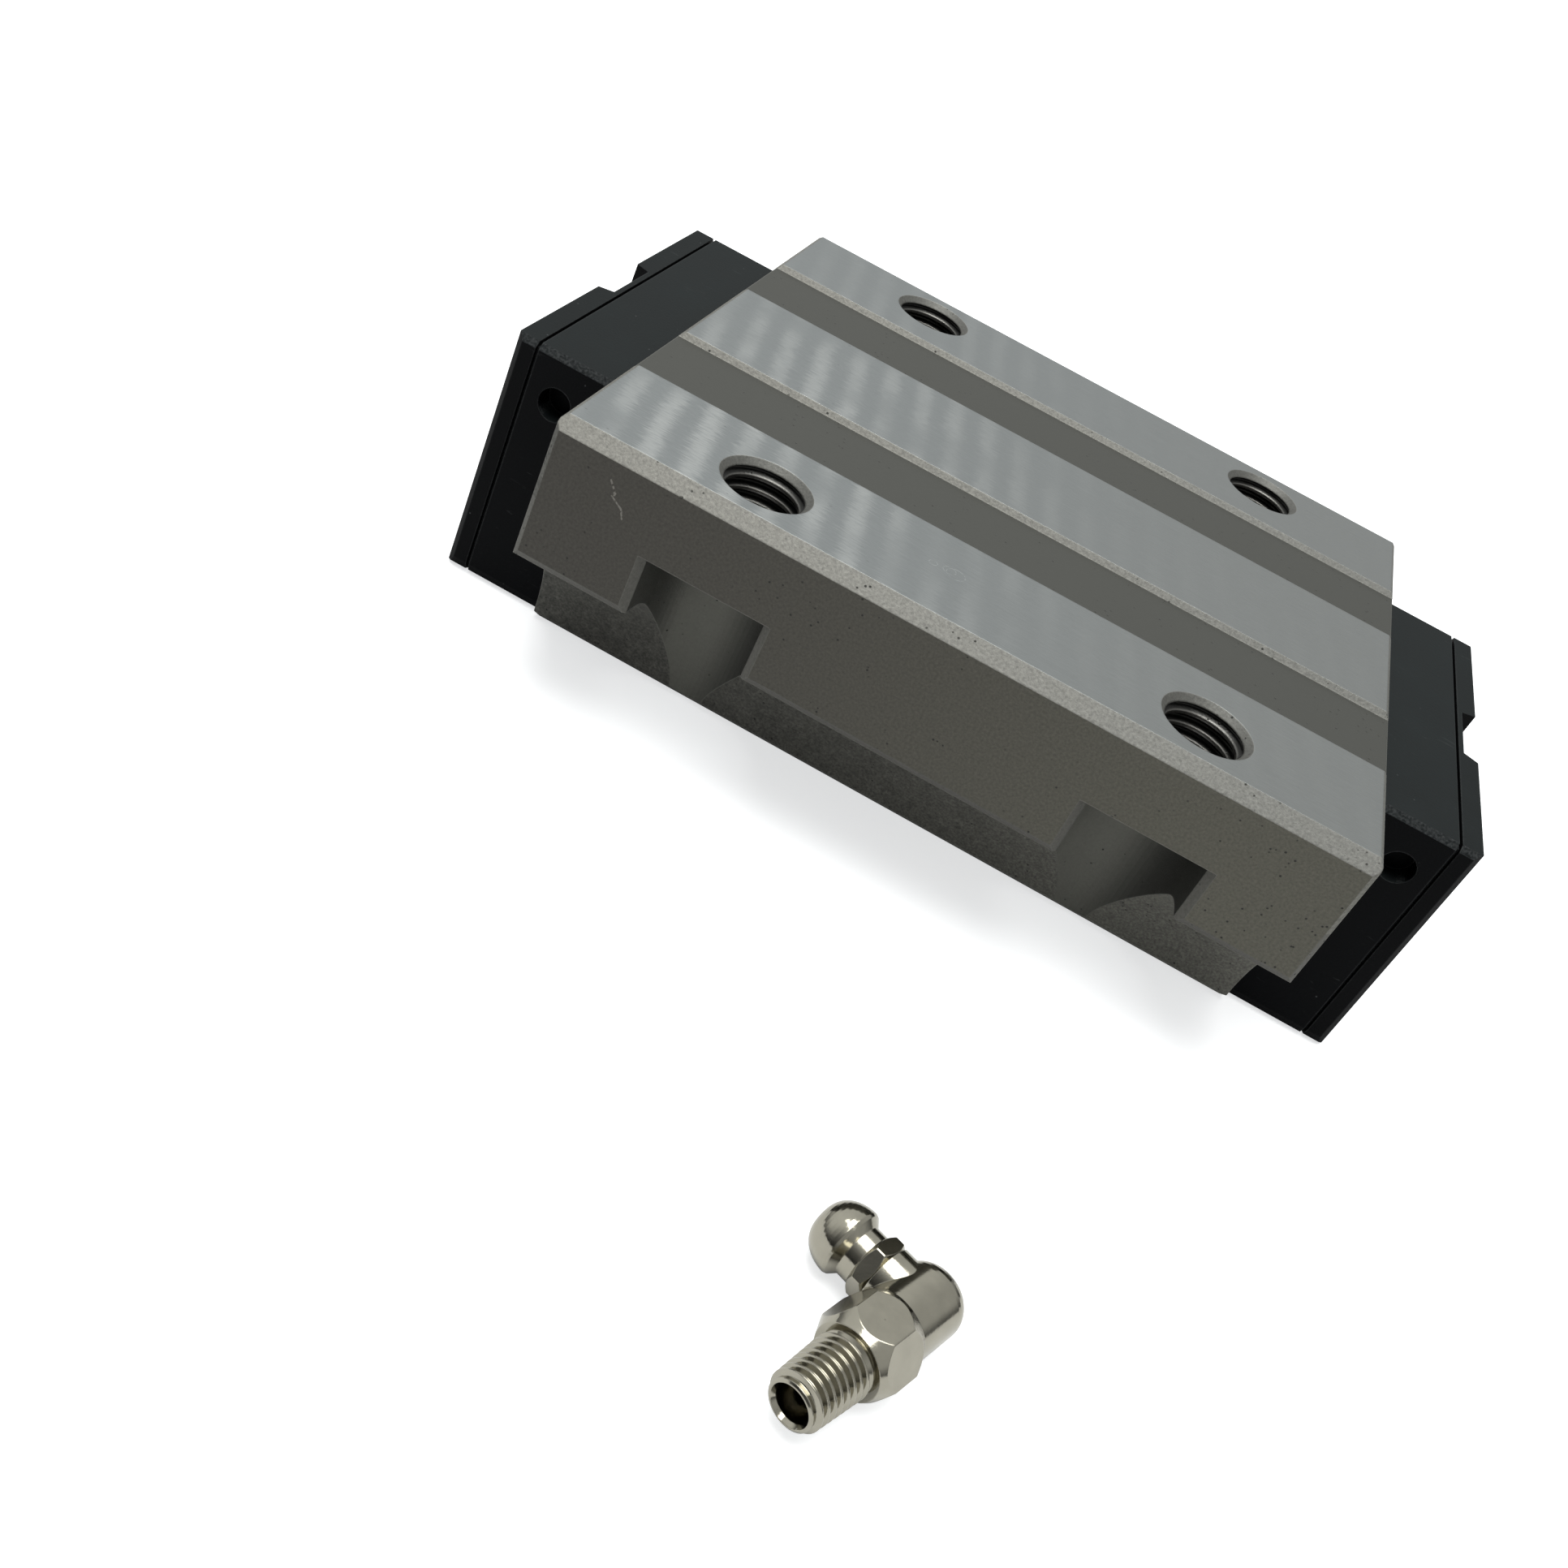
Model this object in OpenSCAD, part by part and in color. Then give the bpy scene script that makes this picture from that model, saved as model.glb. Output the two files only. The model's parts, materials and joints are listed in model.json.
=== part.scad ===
// Linear guide carriage, flanged, with its loose elbow grease fitting.
// Origin: centre of the top mounting face. +X along the rail, +Z up.

/* [Carriage block] */
// Length of the steel block along the rail
block_l = 93.6; // [90:0.1:100]
// Width over the flanges
block_w = 90; // [88:0.5:94]
// Height of the block from its top face to its underside
block_h = 33.4; // [33.2:0.1:34.4]
// Thickness of the flanges
flange_t = 17.2; // [16.5:0.1:18]
// Width of the lower body between the rounded undercuts
waist_w = 58.6; // [57.8:0.1:60]
// Chamfer along the long top edges
edge_chamfer = 1.7; // [1:0.1:2]
// Bevel around both ends of the block
end_bevel = 0.6; // [0.3:0.1:0.8]

/* [Top face] */
// Width of the ground strip in the middle
centre_strip_w = 21.6; // [20:0.1:23]
// Distance from the centre line to the outer ground strips
outer_strip_y = 25.25; // [24.5:0.05:26]
// Depth of the two grooves between the strips
groove_depth = 0.65; // [0.4:0.05:1]

/* [Mounting holes] */
// Hole spacing along the rail
bolt_pitch_x = 52; // [48:0.5:56]
// Hole spacing across the rail
bolt_pitch_y = 72; // [71:0.5:74]
// Thread diameter
bolt_d = 10; // [8:1:10]
// Thread pitch
bolt_pitch = 1.5; // [1.25:0.25:1.5]
// Countersink diameter at the top face
countersink_d = 10.7; // [10.2:0.1:12]
// Flange thickness left above each side pocket
pocket_z = 9.85; // [9.5:0.05:11]
// Width of each side pocket
pocket_w = 14; // [13:0.2:15]
// Chamfer on the upright edges of each pocket
pocket_chamfer = 0.9; // [0.4:0.1:1.2]

/* [Balls and raceways] */
// Ball diameter
ball_d = 5.556; // [5.5:0.001:5.6]
// Distance from the centre line to the loaded ball rows
load_y = 13.8; // [13.75:0.05:13.9]
// Height of the upper loaded rows
upper_z = -16.2; // [-16.3:0.05:-16.1]
// Height of the lower loaded rows
lower_z = -24.4; // [-24.5:0.05:-24.3]
// Balls in each straight row
row_balls = 16; // [16:1:16]
// Balls in each end turn
turn_balls = 3; // [3:1:3]
// Slope of the upper circuits away from the rail
upper_tilt = 30; // [28:1:32]
// Slope of the lower circuits away from the rail
lower_tilt = -15; // [-16:1:-14]

/* [End caps and seals] */
// Width of the end caps
cap_w = 56; // [55:0.5:57]
// Height of the cap's top face, below the block's
cap_top = -2.2; // [-3:0.1:-2]
// Height of the cap's underside
cap_bottom = -33.6; // [-34:0.1:-33.2]
// Length of each end cap
cap_l = 9.9; // [9.7:0.1:10.5]
// Chamfer along the cap's top edges
cap_chamfer = 0.7; // [0.4:0.1:1]
// Groove between cap and end seal
seam = 0.4; // [0.3:0.1:0.8]
// Thickness of the end seal
seal_l = 2.5; // [2:0.1:3]
// Depth of the recess in the end seal, at the grease port
recess_depth = 1.85; // [1.5:0.05:2]
// Half width of that recess
recess_r = 5.4; // [5:0.1:6]
// Diameter of the pilot holes in the sides of the caps
pilot_d = 4; // [3:0.1:4.2]
// Distance of the pilot holes from the block's end
pilot_x = 6.2; // [6:0.1:6.6]
// Height of the pilot holes and of the grease ports
port_z = -8; // [-8.2:0.1:-7.8]

/* [Grease fitting] */
// Thread diameter of the fitting and of the grease ports
port_d = 6; // [6:1:6]
// Width across the flats of its hexagon
fitting_af = 7.4; // [7:0.1:8]
// Diameter of its barrel
barrel_d = 6.9; // [6.6:0.1:7.2]
// Diameter of its head
fitting_head_d = 6.7; // [6.4:0.1:6.8]
// Where its elbow lies along the rail
fitting_x = 23.3; // [20:0.1:30]
// Where its elbow lies across the rail
fitting_y = -97; // [-105:0.1:-90]
// Direction of its thread axis on the bench
fitting_turn = 65; // [0:1:90]
// How far its head leans down to touch the bench
fitting_lean = 3.5; // [3:0.5:5]

/* [Hidden] */
$fn = 48;
LEFT = -1;
RIGHT = 1;
NEAR = -1;
FAR = 1;

half_l = block_l / 2;
half_w = block_w / 2;
seal_x0 = half_l + cap_l + seam;
seal_x1 = seal_x0 + seal_l;
ball_pitch = block_l / row_balls;
turn_r = turn_balls * ball_pitch / PI;
groove_r = ball_d / 2 + 0.022;
tube_r = ball_d / 2 + 0.25;
keep_r = ball_d / 2 + 0.06;
guide_w = 7.4;
cap_screws = [[12, -6.2], [21, -19.3]];
screw_d = 3;
screw_reach = 7;
rail_neck = 10.95;
rail_half = 14;

// ---- outlines -------------------------------------------------------------

// a half outline on the +Y side, closed by its mirror image
function both(p) = concat(p, [for (i = [len(p) - 1:-1:0]) [-p[i][0], p[i][1]]]);

// a rectangle from (x0, y0) to (x1, y1) with its corners cut by c
function cut_rect(x0, y0, x1, y1, c) = [[x0 + c, y0], [x1 - c, y0], [x1, y0 + c],
    [x1, y1 - c], [x1 - c, y1], [x0 + c, y1], [x0, y1 - c], [x0, y0 + c]];

// the space the rail takes, grown by c on every side
function rail_space(c) = both([[rail_neck + c, c - rail_half], [rail_neck + c, 0.4 * c - 17.8],
    [rail_half + c, 0.4 * c - 18.9], [rail_half + c, -21.7 - 0.4 * c],
    [rail_neck + c, -22.8 - 0.4 * c], [rail_neck + c, -45]]);

// a thread as rings: half outline from z = 0 down, root to crest and back each pitch
function ring_thread(base, tip, pitch, turns) = [for (k = [0:turns - 1], q = [0:3])
    [q == 1 || q == 2 ? tip : base,
     -pitch * (k + [0.125, 0.41, 0.59, 0.875][q])]];

// a straight bar along X with the section p in Y and Z
module bar(p, x0, x1) {
    translate([x0, 0, 0]) rotate([90, 0, 90])
        linear_extrude(x1 - x0) polygon(p);
}

// a round rod along X
module rod_x(r, x0, x1, y, z) {
    translate([x0, y, z]) rotate([0, 90, 0]) cylinder(h = x1 - x0, r = r);
}

// a shape turned round the X axis, with its outline as [radius, x]
module lathe_x(p, y, z) {
    translate([0, y, z]) rotate([0, 90, 0]) rotate_extrude() polygon(p);
}

// children copied to the four corners at (x, y)
module at_corners(x, y) {
    for (i = [-1, 1], j = [-1, 1]) translate([i * x, j * y, 0]) children();
}

// ---- ball circuits --------------------------------------------------------

function circuit_z(level) = level == "upper" ? upper_z : lower_z;
function circuit_tilt(level, side) = let (t = level == "upper" ? upper_tilt : lower_tilt)
    side > 0 ? t : 180 - t;
function return_at(level, side) = let (t = circuit_tilt(level, side))
    [side * load_y + 2 * turn_r * cos(t), circuit_z(level) + 2 * turn_r * sin(t)];

// local X stays along the rail, local Y points from the loaded row to the return bore
module turn_frame(end, side, level) {
    t = circuit_tilt(level, side);
    translate([end * half_l, side * load_y + turn_r * cos(t),
        circuit_z(level) + turn_r * sin(t)]) rotate([t, 0, 0]) children();
}

module turn_tube(end, side, level, r) {
    turn_frame(end, side, level)
        rotate_extrude(angle = 180, start = end > 0 ? -90 : 90)
            translate([turn_r, 0]) circle(r);
}

module half_disc(end, r, w) {
    intersection() {
        translate([0, 0, -w / 2]) cylinder(h = w, r = r);
        translate([end > 0 ? 0.02 : -r - 1, -r - 1, -w]) cube([r + 0.98, 2 * r + 2, 2 * w]);
    }
}

module turn_pocket(end, side, level) {
    turn_frame(end, side, level) translate([0, 0, -guide_w / 2 - 0.05])
        cylinder(h = guide_w + 0.1, r = turn_r + 0.03);
    turn_tube(end, side, level, tube_r);
}

module turn_guide(end, side, level) {
    color([0.87, 0.86, 0.80]) difference() {
        turn_frame(end, side, level) half_disc(end, turn_r, guide_w);
        turn_frame(end, side, level) rotate_extrude()
            translate([turn_r, 0]) circle(tube_r);
    }
}

module ball() {
    sphere(d = ball_d, $fn = 40);
}

module ball_row(y, z) {
    color([0.72, 0.73, 0.75]) for (k = [0:row_balls - 1])
        translate([(k + 0.5) * ball_pitch - half_l, y, z]) ball();
}

module load_balls(side, level) {
    ball_row(side * load_y, circuit_z(level));
}

module return_balls(side, level) {
    p = return_at(level, side);
    ball_row(p[0], p[1]);
}

module turn_ball_set(end, side, level) {
    color([0.72, 0.73, 0.75]) turn_frame(end, side, level)
        for (k = [0:turn_balls - 1])
            rotate([0, 0, (k + 0.5) * 180 / turn_balls - 90 * end])
                translate([turn_r, 0, 0]) ball();
}

// ---- block ----------------------------------------------------------------

// the flange underside is the top of this round undercut
undercut_r = block_h - 0.2 - flange_t;

block_section = both([
    [centre_strip_w / 2, 0],
    [centre_strip_w / 2 + groove_depth, -groove_depth],
    [outer_strip_y - groove_depth, -groove_depth],
    [outer_strip_y, 0],
    [half_w - edge_chamfer, 0],
    [half_w, -0.86 * edge_chamfer],
    [half_w, 0.85 - flange_t],
    [half_w - 1.1, -0.85 - flange_t],
    [waist_w / 2 + 11, 11.8 - block_h],
    [waist_w / 2 - 0.8, -block_h]]);

// the hollow that takes the rail and the retainers, up to the raceways
block_hollow = both([
    [load_y - 1.9, -12.2],
    [load_y - 1.9, upper_z],
    [load_y + 2.1, upper_z - 0.7],
    [load_y + 2.1, lower_z + 0.7],
    [load_y - 0.9, lower_z],
    [load_y - 0.9, -block_h + 0.8],
    [load_y + 4.8, -block_h + 0.8],
    [load_y + 4.8, -block_h - 1]]);

module block_blank() {
    intersection() {
        bar(block_section, -half_l, half_l);
        translate([0, 0, -block_h - 1]) linear_extrude(block_h + 2)
            polygon(cut_rect(-half_l, -half_w, half_l, half_w, end_bevel));
        rotate([90, 0, 0]) linear_extrude(block_w + 2, center = true)
            polygon(cut_rect(-half_l, -block_h, half_l, 0, end_bevel));
    }
}

module mounting_hole() {
    sink = 0.75;
    depth = sink + 0.85 + bolt_pitch / 8;
    turns = floor((pocket_z - depth) / bolt_pitch);
    root = bolt_d / 2;
    crest = root - bolt_pitch / 2;
    rotate_extrude() polygon(concat(
        [[0, 0.5], [countersink_d / 2 + 0.5, 0.5], [countersink_d / 2 - sink, -sink],
            [root, -sink - 0.15], [root, -sink - 0.42], [crest, -sink - 0.85]],
        [for (p = ring_thread(crest, root, bolt_pitch, turns)) [p[0], p[1] - depth]],
        [[crest, -pocket_z - 0.5], [0, -pocket_z - 0.5]]));
}

// pocket milled up from below and in from the side, under one mounting hole
module side_pocket(side) {
    w = pocket_w / 2;
    edge = half_w - bolt_pitch_y / 2;
    translate([0, 0, -block_h - 1]) {
        linear_extrude(block_h + 1 - pocket_z) {
            circle(w);
            translate([-w, side > 0 ? 0 : -edge - 1]) square([pocket_w, edge + 1]);
        }
        linear_extrude(block_h + 1 - pocket_z) scale([1, side])
            polygon([[-w, edge - pocket_chamfer], [w, edge - pocket_chamfer],
                [w + pocket_chamfer + 0.1, edge + 0.1], [-w - pocket_chamfer - 0.1, edge + 0.1]]);
    }
}

module carriage_block() {
    color([0.55, 0.57, 0.57]) difference() {
        block_blank();
        for (s = [NEAR, FAR]) {
            rod_x(undercut_r, -half_l - 1, half_l + 1,
                s * (waist_w / 2 + undercut_r), 0.2 - block_h);
            for (level = ["upper", "lower"]) {
                rod_x(groove_r, -half_l - 1, half_l + 1, s * load_y, circuit_z(level));
                rod_x(tube_r, -half_l - 1, half_l + 1,
                    return_at(level, s)[0], return_at(level, s)[1]);
            }
            for (x = [-1, 1]) translate([x * bolt_pitch_x / 2, s * bolt_pitch_y / 2, 0])
                side_pocket(s);
        }
        bar(block_hollow, -half_l - 1, half_l + 1);
        at_corners(bolt_pitch_x / 2, bolt_pitch_y / 2) mounting_hole();
        for (e = [-1, 1], s = [-1, 1], p = cap_screws)
            rod_x(screw_d / 2, e > 0 ? half_l - 8 : -half_l - 1,
                e > 0 ? half_l + 1 : 8 - half_l, s * p[0], p[1]);
    }
}

// ---- retainers and bottom seals -------------------------------------------

module clear_of_balls() {
    for (s = [NEAR, FAR], level = ["upper", "lower"])
        rod_x(keep_r, -half_l - 1, half_l + 1, s * load_y, circuit_z(level));
}

module top_retainer() {
    y = load_y - 1.96;
    color([0.16, 0.17, 0.17]) difference() {
        bar(both([[y, -12.22], [y, -14.3], [y - 0.85, -14.3], [y - 1.6, -13.4]]),
            -half_l + 0.05, half_l - 0.05);
        clear_of_balls();
    }
}

module side_retainer(side) {
    y0 = rail_half + 0.5;
    y1 = load_y + 2.08;
    color([0.16, 0.17, 0.17]) difference() {
        bar([[side * y0, -22.3], [side * y1, -22.3], [side * y1, -18.3], [side * y0, -18.3]],
            -half_l + 0.05, half_l - 0.05);
        clear_of_balls();
    }
}

module lower_retainer(side) {
    y0 = rail_neck + 0.75;
    y1 = load_y - 0.92;
    color([0.16, 0.17, 0.17]) difference() {
        bar([[side * y0, -32.2], [side * y1, -32.2], [side * y1, -26.3], [side * y0, -26.3]],
            -half_l + 0.05, half_l - 0.05);
        clear_of_balls();
    }
}

module bottom_seal(side) {
    y0 = rail_neck + 0.3;
    y1 = load_y + 4.75;
    color([0.10, 0.10, 0.10])
        bar([[side * y0, 0.3 - block_h], [side * (y0 + 1.1), 0.78 - block_h],
            [side * y1, 0.78 - block_h], [side * y1, 0.05 - block_h],
            [side * (y0 + 1.1), 0.05 - block_h]], -half_l + 0.05, half_l - 0.05);
}

// ---- end caps --------------------------------------------------------------

function cap_section(cut) = both([[cap_w / 2 - cut, cap_top], [cap_w / 2, cap_top - cut],
    [cap_w / 2, cap_bottom + 1.4], [cap_w / 2 - 0.4, cap_bottom + 0.4],
    [cap_w / 2 - 1.4, cap_bottom]]);

module screw_holes(r, x0, x1) {
    for (s = [-1, 1], p = cap_screws) rod_x(r, x0, x1, s * p[0], p[1]);
}

// one end cap at the +X end
module cap_body() {
    x1 = half_l + cap_l;
    difference() {
        bar(cap_section(cap_chamfer), half_l, x1);
        bar(rail_space(0.7), half_l - 1, x1 + 1);
        screw_holes(screw_d / 2 + 0.15, half_l - 1, x1 + 1);
        for (s = [NEAR, FAR]) {
            turn_pocket(RIGHT, s, "upper");
            turn_pocket(RIGHT, s, "lower");
            translate([half_l + pilot_x, s * (cap_w / 2 - 3), port_z])
                rotate([-90 * s, 0, 0]) cylinder(h = 4, d = pilot_d);
        }
        // grease port, its drilling and the shallow channel to the turns
        rod_x(port_d / 2 - 0.4, half_l + 3.4, x1 + 1, 0, port_z);
        rod_x(1.5, half_l - 1, half_l + 4, 0, port_z);
        translate([half_l - 1, -22, port_z - 2.2]) cube([2, 44, 1.6]);
    }
}

module end_cap(end) {
    color([0.13, 0.14, 0.14]) mirror([end > 0 ? 0 : 1, 0, 0]) cap_body();
}

// one end seal plate at the +X end
module seal_body() {
    inner = seal_x1 - recess_depth;
    step = 0.8;
    flare = 0.7;
    difference() {
        union() {
            intersection() {
                bar(cap_section(cap_chamfer), seal_x0, seal_x1);
                translate([0, 0, -50]) linear_extrude(60) polygon([[0, -40],
                    [seal_x1 - 0.8, -40], [seal_x1 - 0.8, -cap_w / 2], [seal_x1, 0.8 - cap_w / 2],
                    [seal_x1, cap_w / 2 - 0.8], [seal_x1 - 0.8, cap_w / 2], [seal_x1 - 0.8, 40],
                    [0, 40]]);
            }
            bar(both([[cap_w / 2 - step, cap_top - step],
                [cap_w / 2 - step, cap_bottom + 1.2],
                [cap_w / 2 - 1.6, cap_bottom + 0.2]]), half_l + cap_l, seal_x0 + 0.2);
        }
        bar(rail_space(1.35), half_l, seal_x1 + 1);
        screw_holes(screw_d / 2 + 0.15, half_l, seal_x1 + 1);
        for (s = [-1, 1], p = cap_screws)
            lathe_x([[0, seal_x1 - 1.7], [screw_d / 2 + 0.1, seal_x1 - 1.7],
                [screw_d / 2 + 1.8, seal_x1], [screw_d / 2 + 1.8, seal_x1 + 1],
                [0, seal_x1 + 1]], s * p[0], p[1]);
        // recess at the grease port, open at the top
        lathe_x([[0, inner], [recess_r, inner], [recess_r + flare, seal_x1 + 0.001],
            [recess_r + flare, seal_x1 + 1], [0, seal_x1 + 1]], 0, port_z);
        translate([0, 0, port_z]) linear_extrude(10)
            polygon([[inner, -recess_r], [seal_x1 + 0.001, -recess_r - flare],
                [seal_x1 + 1, -recess_r - flare], [seal_x1 + 1, recess_r + flare],
                [seal_x1 + 0.001, recess_r + flare], [inner, recess_r]]);
        rod_x(3.6, half_l, seal_x1 + 1, 0, port_z);
    }
}

module end_seal(end) {
    color([0.15, 0.16, 0.16]) mirror([end > 0 ? 0 : 1, 0, 0]) seal_body();
}

module seal_lip(end) {
    color([0.06, 0.06, 0.06]) mirror([end > 0 ? 0 : 1, 0, 0]) difference() {
        intersection() {
            bar(rail_space(1.32), seal_x0 + 0.4, seal_x1 - 0.5);
            bar(cut_rect(-20, cap_bottom + 0.1, 20, -10, 0.5), half_l, seal_x1);
        }
        bar(rail_space(0.2), half_l, seal_x1 + 1);
    }
}

// ---- fasteners --------------------------------------------------------------

module cap_screw(y, z) {
    head = 1.65;
    difference() {
        lathe_x([[0, half_l - screw_reach], [screw_d / 2 - 0.3, half_l - screw_reach],
            [screw_d / 2 - 0.03, half_l - screw_reach + 0.3],
            [screw_d / 2 - 0.03, seal_x1 - head], [screw_d / 2 + 1.25, seal_x1 - 0.35],
            [screw_d / 2 + 1.25, seal_x1 - 0.1], [0, seal_x1 - 0.1]], y, z);
        translate([seal_x1 - 1.2, y, z]) rotate([0, 90, 0]) cylinder(h = 2, d = 2.3, $fn = 6);
    }
}

module cap_screw_set(end) {
    color([0.35, 0.36, 0.37]) mirror([end > 0 ? 0 : 1, 0, 0])
        for (s = [-1, 1], p = cap_screws) cap_screw(s * p[0], p[1]);
}

module port_plug() {
    r = port_d / 2 - 0.43;
    x1 = half_l + cap_l - 0.3;
    color([0.30, 0.31, 0.32]) mirror([1, 0, 0]) difference() {
        lathe_x([[0, x1 - 5], [r - 0.8, x1 - 5], [r, x1 - 4.2], [r, x1 - 0.3],
            [r - 0.3, x1], [0, x1]], 0, port_z);
        translate([x1 - 2.5, 0, port_z]) rotate([0, 90, 0]) cylinder(h = 3, d = 3.4, $fn = 6);
    }
}

// ---- grease fitting ---------------------------------------------------------
// Local frame: origin at the elbow, thread along -X, head along +Y.

thread_end = -16;
thread_l = 6.5;
hex_x0 = -9.1;
hex_x1 = -3.2;
barrel_r = barrel_d / 2;
barrel_x1 = 3.9;
head_r = fitting_head_d / 2;

module fitting_frame() {
    translate([fitting_x, fitting_y, fitting_af * 0.518 + cap_bottom])
        rotate([-fitting_lean, 0, fitting_turn]) children();
}

module hexagon(af, z0, z1) {
    translate([0, 0, z0]) cylinder(h = z1 - z0, r = af / 2 / cos(30), $fn = 6);
}

// a turned blank whose ends are coned down to the radius r0
function coned(r0, r1, z0, z1, c) = [[0, z0], [r0, z0], [r1, z0 + c], [r1, z1 - c],
    [r0, z1], [0, z1]];

module fitting_body() {
    r = port_d / 2 - 0.1;
    root = r - 0.45;
    turns = 8;
    pitch = 0.75;
    corner = fitting_af / 2 / cos(30);
    color([0.66, 0.65, 0.61]) fitting_frame() rotate([0, 90, 0]) difference() {
        union() {
            // threaded stem and neck
            rotate_extrude() polygon(concat(
                [[0, hex_x0 + 0.1], [root + 0.35, hex_x0 + 0.1], [root, hex_x0 - 0.35],
                    [root, thread_end + thread_l]],
                [for (p = ring_thread(root, r, pitch, turns))
                    [p[0] + 0.05 * (p[1] + 1), p[1] + thread_end + thread_l]],
                [[r - 0.62, thread_end + 0.15], [r - 0.85, thread_end], [0, thread_end]]));
            // hexagon with turned corners
            intersection() {
                rotate([0, 0, 30]) hexagon(fitting_af, hex_x0, hex_x1);
                rotate_extrude()
                    polygon(coned(corner - 0.87, corner - 0.03, hex_x0, hex_x1, 1.6));
            }
            // barrel with a domed end
            rotate_extrude() polygon(concat(
                [[0, hex_x1 - 0.1], [barrel_r, hex_x1 - 0.1]],
                [for (a = [0:9:90]) [0.6 + (barrel_r - 0.6) * cos(a),
                    barrel_x1 - 2.4 + 2.4 * sin(a)]],
                [[0, barrel_x1]]));
            // seat for the head
            rotate([-90, 0, 0]) cylinder(h = barrel_r + 0.37, r = 3);
        }
        translate([0, 0, thread_end - 1]) cylinder(h = 5, r = 1.7);
        translate([0, 0, thread_end + 3]) cylinder(h = 14.3, r = 1.15);
        translate([0, 0, thread_end - 0.01]) cylinder(h = 0.45, r1 = 1.95, r2 = 1.7);
        rotate([-90, 0, 0]) cylinder(h = 6, r = 1.15);
        translate([0, 1.9, 0]) rotate([-90, 0, 0]) cylinder(h = 4, r = 1.88);
    }
}

module fitting_head() {
    z0 = barrel_r + 0.4;
    hex_top = z0 + 1.7;
    color([0.70, 0.69, 0.65]) fitting_frame() rotate([-90, 0, 0]) difference() {
        union() {
            translate([0, 0, 1.95]) cylinder(h = 2.2, r = 1.85);
            intersection() {
                rotate([0, 0, 12]) hexagon(5.5, z0, hex_top);
                rotate_extrude() polygon(coned(2.65, 3.14, z0, hex_top, 0.4));
            }
            rotate_extrude() polygon(concat(
                [[0, hex_top - 0.2], [2.55, hex_top - 0.2], [2.55, 6.85],
                    [head_r - 0.12, 7.5]],
                [for (a = [0:7.5:90]) [1 + (head_r - 1) * cos(a), 7.8 + 3.2 * sin(a)]],
                [[0, 11]]));
        }
        rotate_extrude()
            polygon([[0, 1.5], [1.1, 1.5], [1.1, 9.8], [0.6, 10.5], [0.6, 11.6], [0, 11.6]]);
    }
}

module fitting_check_ball() {
    color([0.75, 0.76, 0.78]) fitting_frame()
        translate([0, 9.4, 0]) sphere(r = 1);
}

module fitting_spring() {
    wire = 0.12;
    coil = 0.78;
    lead = 0.85;
    color([0.60, 0.61, 0.63]) fitting_frame() rotate([-90, 0, 0]) {
        for (k = [0:6]) translate([0, 0, 2.8 + lead * k])
            rotate_extrude($fn = 32) translate([coil, 0]) circle(wire, $fn = 16);
        translate([coil, 0, 2.8]) cylinder(h = 6 * lead, r = 0.09, $fn = 16);
    }
}

carriage_block();
end_cap(LEFT);  // left_end_cap
end_cap(RIGHT);  // right_end_cap
end_seal(LEFT);  // left_end_seal
end_seal(RIGHT);  // right_end_seal
seal_lip(LEFT);  // left_seal_lip
seal_lip(RIGHT);  // right_seal_lip
cap_screw_set(LEFT);  // left_cap_screws
cap_screw_set(RIGHT);  // right_cap_screws
port_plug();
top_retainer();
side_retainer(NEAR);  // near_side_retainer
side_retainer(FAR);  // far_side_retainer
lower_retainer(NEAR);  // near_lower_retainer
lower_retainer(FAR);  // far_lower_retainer
bottom_seal(NEAR);  // near_bottom_seal
bottom_seal(FAR);  // far_bottom_seal
turn_guide(LEFT, NEAR, "upper");  // left_near_upper_guide
turn_guide(LEFT, NEAR, "lower");  // left_near_lower_guide
turn_guide(LEFT, FAR, "upper");  // left_far_upper_guide
turn_guide(LEFT, FAR, "lower");  // left_far_lower_guide
turn_guide(RIGHT, NEAR, "upper");  // right_near_upper_guide
turn_guide(RIGHT, NEAR, "lower");  // right_near_lower_guide
turn_guide(RIGHT, FAR, "upper");  // right_far_upper_guide
turn_guide(RIGHT, FAR, "lower");  // right_far_lower_guide
load_balls(NEAR, "upper");  // near_upper_load_balls
load_balls(NEAR, "lower");  // near_lower_load_balls
load_balls(FAR, "upper");  // far_upper_load_balls
load_balls(FAR, "lower");  // far_lower_load_balls
return_balls(NEAR, "upper");  // near_upper_return_balls
return_balls(NEAR, "lower");  // near_lower_return_balls
return_balls(FAR, "upper");  // far_upper_return_balls
return_balls(FAR, "lower");  // far_lower_return_balls
turn_ball_set(LEFT, NEAR, "upper");  // left_near_upper_turn_balls
turn_ball_set(LEFT, NEAR, "lower");  // left_near_lower_turn_balls
turn_ball_set(LEFT, FAR, "upper");  // left_far_upper_turn_balls
turn_ball_set(LEFT, FAR, "lower");  // left_far_lower_turn_balls
turn_ball_set(RIGHT, NEAR, "upper");  // right_near_upper_turn_balls
turn_ball_set(RIGHT, NEAR, "lower");  // right_near_lower_turn_balls
turn_ball_set(RIGHT, FAR, "upper");  // right_far_upper_turn_balls
turn_ball_set(RIGHT, FAR, "lower");  // right_far_lower_turn_balls
fitting_body();
fitting_head();
fitting_check_ball();
fitting_spring();
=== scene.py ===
import json
import math
import bpy
from mathutils import Matrix, Vector


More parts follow.
